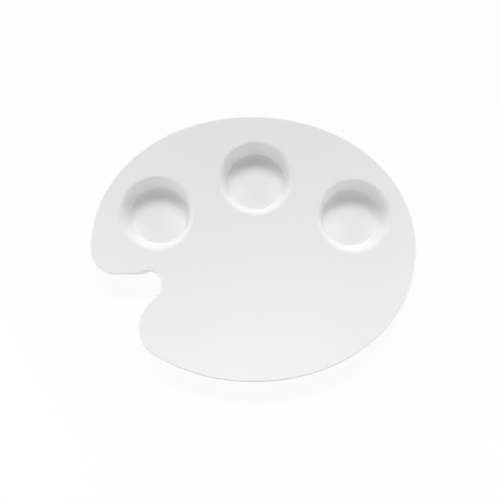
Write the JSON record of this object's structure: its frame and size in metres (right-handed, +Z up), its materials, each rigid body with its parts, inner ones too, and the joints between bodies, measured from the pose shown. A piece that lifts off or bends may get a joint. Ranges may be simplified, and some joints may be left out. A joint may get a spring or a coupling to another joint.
{
  "type": "mixing palette",
  "caption": "Oval hand-held palette for mixing paint, with round wells along the back, an open thumb notch at the left and a turned-down rim on which it stands level.",
  "frame": {"origin": "on the plane it stands on, under the middle of the oval, which is the bottom centre of its box", "axes": "+X to the right along the long side, +Y to the back, where the wells are, +Z up out of the deck; the thumb notch is on the -X side"},
  "size_m": [0.2499, 0.2039, 0.014],
  "materials": {
    "white_plastic": "white, satin to gloss, as moulded"
  },
  "bodies": {
    "root": {"palette": "white_plastic"}
  },
  "joints": []
}
